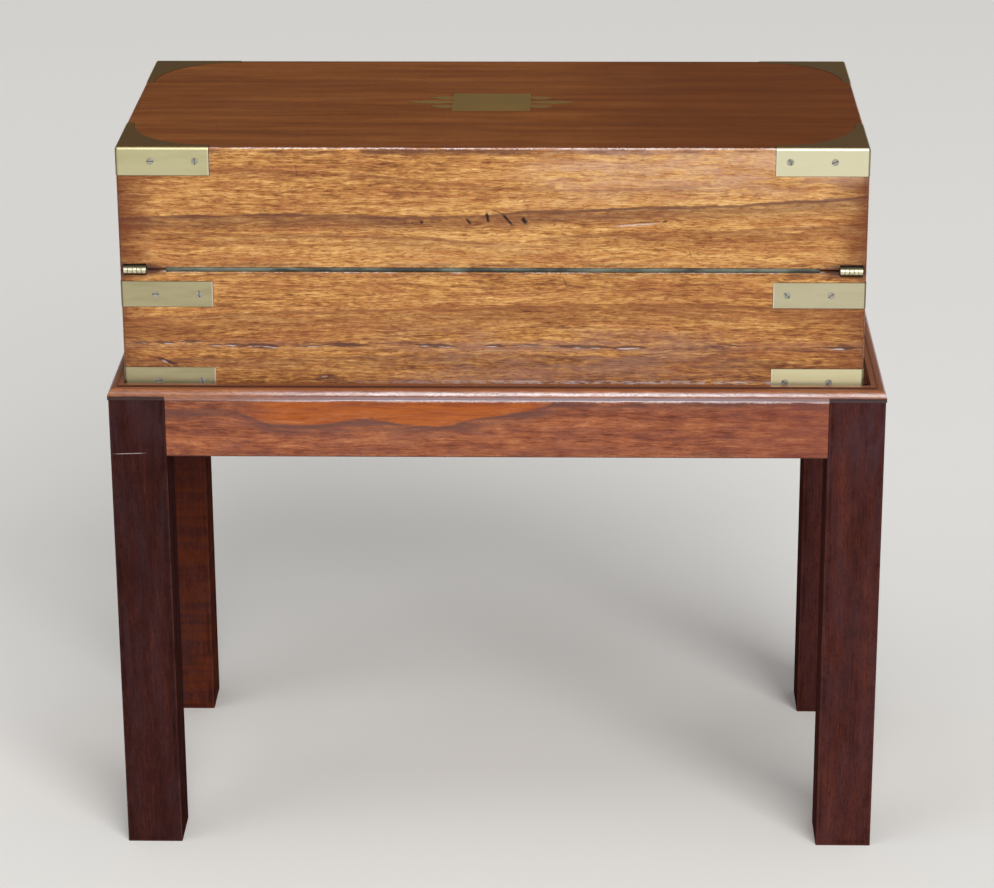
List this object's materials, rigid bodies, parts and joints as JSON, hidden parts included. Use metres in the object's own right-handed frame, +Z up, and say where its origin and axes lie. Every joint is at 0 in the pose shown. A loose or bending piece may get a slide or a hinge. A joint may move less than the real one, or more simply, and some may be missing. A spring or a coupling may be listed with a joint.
{
  "type": "campaign desk",
  "caption": "Brass-bound wooden campaign writing box with leather writing slope, lifting out of a square-legged stand with a moulded lip.",
  "frame": {"origin": "on the floor, under the middle of the stand", "axes": "+X along the box, -Y the hinge side that the writer faces, +Y the lock side, +Z up"},
  "size_m": [0.535, 0.268, 0.5143],
  "materials": {
    "box_wood": "french-polished golden brown mahogany with dark figure",
    "leg_wood": "dark red-brown polished mahogany",
    "rail_wood": "polished red mahogany with wavy grain",
    "inner_wood": "thinly polished mahogany",
    "mount_brass": "old hand-finished brass with dull patina and bright edges",
    "fitting_brass": "worn cast and rolled brass",
    "screw_steel": "dull steel with dark slots",
    "green_leather": "smooth blue-green skiver, worn at the fold",
    "ink_glass": "clear pressed glass"
  },
  "bodies": {
    "stand": {"leg_left_hinge_side": "leg_wood", "leg_right_hinge_side": "leg_wood", "leg_left_lock_side": "leg_wood", "leg_right_lock_side": "leg_wood", "rail_hinge_side": "rail_wood", "rail_lock_side": "rail_wood", "rail_left": "rail_wood", "rail_right": "rail_wood", "lip_hinge_side": "rail_wood", "lip_lock_side": "rail_wood", "lip_left": "rail_wood", "lip_right": "rail_wood"},
    "box_base": {"base_bottom": "box_wood", "base_wall_hinge_side": "box_wood", "base_wall_right": "box_wood", "base_wall_lock_side": "box_wood", "base_wall_left": "box_wood", "middle_straps": "mount_brass", "bottom_straps": "mount_brass", "base_strap_screws": "screw_steel", "hinge_leaves_base": "fitting_brass", "hinge_pins": "screw_steel", "hinge_screws_base": "screw_steel", "leather_hinge": "green_leather", "base_flap_ledges": "inner_wood", "base_divider": "inner_wood", "base_partitions": "inner_wood", "inkwell_shelves": "inner_wood", "pen_tray": "inner_wood", "tray_bearers": "inner_wood", "inkwells": "ink_glass", "inkwell_caps": "fitting_brass", "lock_case": "fitting_brass", "lock_plate": "fitting_brass", "escutcheon": "mount_brass", "handle_pans": "mount_brass"},
    "lid": {"lid_top": "box_wood", "lid_wall_hinge_side": "box_wood", "lid_wall_right": "box_wood", "lid_wall_lock_side": "box_wood", "lid_wall_left": "box_wood", "lid_corner_mounts": "mount_brass", "name_plate": "mount_brass", "lid_strap_screws": "screw_steel", "hinge_leaves_lid": "fitting_brass", "hinge_screws_lid": "screw_steel", "lid_flap_ledges": "inner_wood", "lid_catch_rail": "inner_wood", "lid_catch_spring": "fitting_brass", "lock_link_plate": "fitting_brass"},
    "base_writing_flap": {"base_flap": "inner_wood", "base_flap_leather": "green_leather", "base_flap_tab": "green_leather"},
    "lid_writing_flap": {"lid_flap": "inner_wood", "lid_flap_leather": "green_leather", "lid_flap_tab": "green_leather"},
    "bolt": {"lock_bolt": "fitting_brass"},
    "right_bail": {"handle_bail_right": "mount_brass"},
    "left_bail": {"handle_bail_left": "mount_brass"}
  },
  "joints": [
    {"name": "box_lift", "type": "slide", "parent": "stand", "child": "box_base", "axis": [0, 0, 1], "range_m": [0, 0.06]},
    {"name": "lid_hinge", "type": "hinge", "parent": "box_base", "child": "lid", "pos_m": [0, -0.1215, 0.4279], "axis": [1, 0, 0], "range_deg": [0, 171], "deforming": ["leather_hinge"]},
    {"name": "base_flap_hinge", "type": "hinge", "parent": "box_base", "child": "base_writing_flap", "pos_m": [0, -0.10803, 0.4283], "axis": [1, 0, 0], "range_deg": [0, 51.3]},
    {"name": "lid_flap_hinge", "type": "hinge", "parent": "lid", "child": "lid_writing_flap", "pos_m": [0, -0.10816, 0.43102], "axis": [-1, 0, 0], "range_deg": [0, 51.3]},
    {"name": "bolt_slide", "type": "slide", "parent": "box_base", "child": "bolt", "axis": [1, 0, 0], "range_m": [0, 0.0045]},
    {"name": "right_bail_hinge", "type": "hinge", "parent": "box_base", "child": "right_bail", "pos_m": [0.24885, 0, 0.4005], "axis": [0, -1, 0], "range_deg": [0, 90]},
    {"name": "left_bail_hinge", "type": "hinge", "parent": "box_base", "child": "left_bail", "pos_m": [-0.25365, 0, 0.4005], "axis": [0, 1, 0], "range_deg": [0, 90]}
  ],
  "couplings": [
    {"joint": "base_flap_hinge", "follows": "lid_hinge", "ratio": 0.3},
    {"joint": "lid_flap_hinge", "follows": "lid_hinge", "ratio": 0.3}
  ]
}
